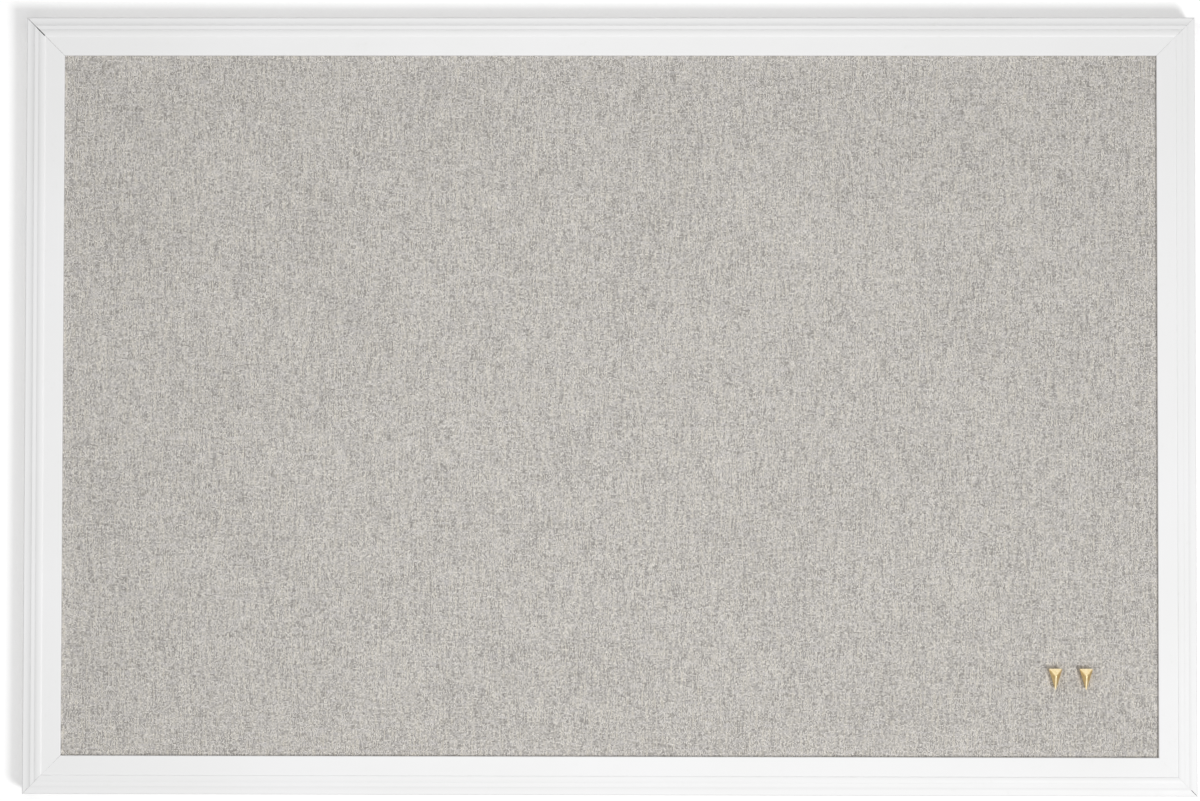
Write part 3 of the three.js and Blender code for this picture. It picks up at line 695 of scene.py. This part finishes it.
# A pan-head screw with a cross recess
def makeScrew(side):
    s = screw
    head, rise, chamfer, domeEdge = s["head"], s["rise"], s["chamfer"], s["domeEdge"]
    low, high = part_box("hanger_screw_" + side)
    seat = Vector(((low.x + high.x) / 2, high.y - rise * millimetre, (low.z + high.z) / 2))
    dome = leaningCurve((head, rise * domeEdge), (head * s["domeFull"], rise), (head * domeEdge, rise),
                        s["domeSteps"])
    pairs = [(0, rise), *reversed(dome), (head, rise * domeEdge), (head, chamfer), (head - chamfer, 0),
             (s["shank"], 0), (s["shank"], s["tip"] - s["length"]), (0, -s["length"])]
    piece = finishPiece(turnedSolid(pairs, seat, s["sides"]), "screw_" + side, [zincSteel])
    span, slot, deep = s["recess"]
    crown = seat + Vector((0, rise * millimetre, 0))
    bm = bmesh.new()
    for wide, tall in ((span, slot), (slot, span)):
        made = bmesh.ops.create_cube(bm, size=millimetre)["verts"]
        bmesh.ops.scale(bm, verts=made, vec=(wide, deep * 2, tall))
    bmesh.ops.translate(bm, verts=bm.verts, vec=crown)
    for vert in bm.verts:  # the recess narrows towards its floor
        if vert.co.y < crown.y:
            vert.co.x += (seat.x - vert.co.x) * s["recessDraft"]
            vert.co.z += (seat.z - vert.co.z) * s["recessDraft"]
    cross = finishPiece(bm, "cross", [zincSteel])
    cutAway(piece, cross)
    bpy.data.objects.remove(cross)
    keepFlatsFlat(piece)
    place(piece, "board", "zinc_steel", "hanger_screw_" + side)


bumper = {"radius": 5, "round": 0.9, "roundSteps": 5, "thickness": 4.3, "chamfer": 0.2, "sides": 48}


# A rubber bumper, rounded where it meets the wall
def makeBumper(side):
    b = bumper
    radius, rounding, chamfer = b["radius"], b["round"], b["chamfer"]
    low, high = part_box("wall_bumper_" + side)
    centre = Vector(((low.x + high.x) / 2, high.y, (low.z + high.z) / 2))
    edge = leaningCurve((radius, -rounding), (radius, 0), (radius - rounding, 0), b["roundSteps"])
    pairs = [(0, 0), *reversed(edge), (radius, -rounding), (radius, chamfer - b["thickness"]),
             (radius - chamfer, -b["thickness"]), (0, -b["thickness"])]
    piece = finishPiece(turnedSolid(pairs, centre, b["sides"]), "bumper_" + side, [rubber])
    keepFlatsFlat(piece)
    place(piece, "board", "rubber", "wall_bumper_" + side)


pinHead = {
    "ridge": 0.75, "rim": 0.16, "segments": 3,
    "bright": (0.25, -0.5),  # above the point, faces whose normal has more Z and less Y than these get the painted highlight
}


# A three-sided pyramid on a drafted block, cast with slightly rounded ridges
def makePinHead(side):
    bm = copySolid("pin_head_" + side)
    apex = min(bm.verts, key=lambda v: v.co.y)
    pointHeight = apex.co.z
    ridges = list(apex.link_edges)
    corners = {e.other_vert(apex) for e in ridges}
    rim = {e for v in corners for e in v.link_edges if e not in ridges}
    # The rounded ridges get the lighter brass: painted highlight
    for face in roundEdges(bm, ridges, pinHead["ridge"], pinHead["segments"]):
        face.material_index = 1
    roundEdges(bm, [e for e in rim if e.is_valid], pinHead["rim"], pinHead["segments"])
    for face in bm.faces:  # the ridge below the point and the face above it, with its ridges, get the lighter brass: painted highlight where the light falls
        if face.calc_center_median().z > pointHeight:
            upward = face.normal.z > pinHead["bright"][0] and face.normal.y < pinHead["bright"][1]
            face.material_index = 1 if upward else 0
    piece = finishPiece(bm, "pinhead_" + side, [brass, paintedHighlightBrass], creaseAngle=32)
    keepFlatsFlat(piece)
    place(piece, "pin_" + side, "satin_brass", "pin_head_" + side)


for side in ("left", "right"):
    makeStamped("hanger_strap_" + side, "strap_" + side, "board", "zinc_steel", zincSteel, arrises["strap"])
    makeRing(side)
    makeScrew(side)
    makeBumper(side)
    makePinHead(side)
print("hangers, bumpers and pins made")


# Wall, floor, light and camera

# White to the camera, with the board's shadow on it. No other ray meets it, so it takes no light away.
def stageWhite(name, albedo, glow, frontOnly):
    material = bpy.data.materials.new(name)
    material.use_nodes = True
    tree = material.node_tree
    tree.nodes.remove(tree.nodes["Principled BSDF"])
    seen = addNode(tree, "LightPath", output="Is Camera Ray")
    if frontOnly:
        behind = addNode(tree, "NewGeometry", output="Backfacing")
        seen = addNode(tree, "Math", {0: seen, 1: behind}, operation="SUBTRACT", use_clamp=True)
    paint = addNode(tree, "BsdfDiffuse", {"Color": (albedo, albedo, albedo, 1)})
    shine = addNode(tree, "Emission", {"Strength": glow})
    white = addNode(tree, "AddShader", {0: paint, 1: shine})
    clear = addNode(tree, "BsdfTransparent")
    mixed = addNode(tree, "MixShader", {0: seen, 1: clear, 2: white})
    tree.links.new(mixed, tree.nodes["Material Output"].inputs["Surface"])
    return material


def makeStage(name, size, turn, location, material):
    bm = bmesh.new()
    bmesh.ops.create_grid(bm, x_segments=1, y_segments=1, size=size / 2)
    bmesh.ops.rotate(bm, verts=bm.verts, matrix=Matrix.Rotation(math.radians(turn), 3, "X"))
    bmesh.ops.translate(bm, verts=bm.verts, vec=location)
    plane = finishPiece(bm, name, [material], turnOut=False)


# Places and sizes of the stage, the light and the camera are in metres, their turns in degrees.
stage = {
    "wall": {"size": 5, "turn": 90, "place": (0, 0.0002, 1.2), "albedo": 0.87, "glow": 0.27,
             "frontOnly": True},
    "floor": {"size": 60, "turn": 0, "place": (0, 0, -1.3), "albedo": 0.9, "glow": 0.5,
              "frontOnly": False},
}
for name, plane in stage.items():
    paint = stageWhite(name + "Paint", plane["albedo"], plane["glow"], plane["frontOnly"])
    makeStage(name, plane["size"], plane["turn"], plane["place"], paint)

# The sky and each share are parts of the level at which a colour renders as it is written.
light = {
    "sky": 0.27,
    "key": {"share": 0.41, "place": (1.23, -2.6, -1.1), "size": 0.7},
    "fill": {"share": 0.37, "place": (-0.12, -1.0, 0.03), "size": 0.7},
    "backLeft": {"share": 0.25, "from": (-1.1, 1, 0.7), "angle": 40},
    "backRight": {"share": 0.25, "from": (1.1, 1, -0.4), "angle": 40},
}


def addLamp(name, kind, comesFrom, place=(0, 0, 0)):
    lamp = bpy.data.lights.new(name, kind)
    holder = bpy.data.objects.new(name, lamp)
    turn = Vector(comesFrom).to_track_quat("Z", "Y").to_matrix().to_4x4()
    holder.matrix_world = Matrix.Translation(place) @ turn
    bpy.context.scene.collection.objects.link(holder)
    return lamp


# A square softbox that looks at the middle of the board
for name in ("key", "fill"):
    box = light[name]
    lamp = addLamp(name, "AREA", box["place"], box["place"])
    distance = Vector(box["place"]).length
    lamp.size = box["size"]
    lamp.energy = box["share"] * math.pi ** 2 * distance ** 3 / abs(box["place"][1])
for name in ("backLeft", "backRight"):
    back = light[name]
    lamp = addLamp(name, "SUN", back["from"])
    lamp.energy = back["share"] * math.pi * Vector(back["from"]).length / abs(back["from"][1])
    lamp.angle = math.radians(back["angle"])

world = bpy.data.worlds.new("studio")
bpy.context.scene.world = world
world.use_nodes = True
tree = world.node_tree
path = addNode(tree, "LightPath", output="Is Camera Ray").node.outputs
mirror = addNode(tree, "Math", {0: path["Is Glossy Ray"], 1: path["Is Transmission Ray"]},
                 operation="MAXIMUM")
shown = addNode(tree, "Math", {0: mirror, 1: path["Is Camera Ray"]}, operation="MAXIMUM")
strength = addNode(tree, "Mix", {0: shown, 2: light["sky"], 3: 1.0}, data_type="FLOAT")
tree.links.new(strength, tree.nodes["Background"].inputs["Strength"])
tree.nodes["Background"].inputs["Color"].default_value = (1, 1, 1, 1)

camera = {
    "place": (0.01592, -2.2, -0.06282), "pitch": 1.7302, "yaw": 0.5777, "roll": -0.0844,
    "lens": 100.466, "sensor": 36, "clip": (0.05, 50),
}
lens = bpy.data.cameras.new("camera")
lens.lens, lens.sensor_width, lens.sensor_fit = camera["lens"], camera["sensor"], "HORIZONTAL"
lens.clip_start, lens.clip_end = camera["clip"]
eye = bpy.data.objects.new("camera", lens)
bpy.context.scene.collection.objects.link(eye)
steps = (("yaw", "Z"), ("pitch", "X"), ("roll", "Y"))
turns = [Matrix.Rotation(math.radians(camera[key]), 4, axis) for key, axis in steps]
upright = Matrix.Rotation(math.pi / 2, 4, "X")
eye.matrix_world = Matrix.Translation(camera["place"]) @ turns[0] @ turns[1] @ turns[2] @ upright
bpy.context.scene.camera = eye
bpy.context.scene.view_settings.view_transform = "Standard"
print("stage, light and camera set")
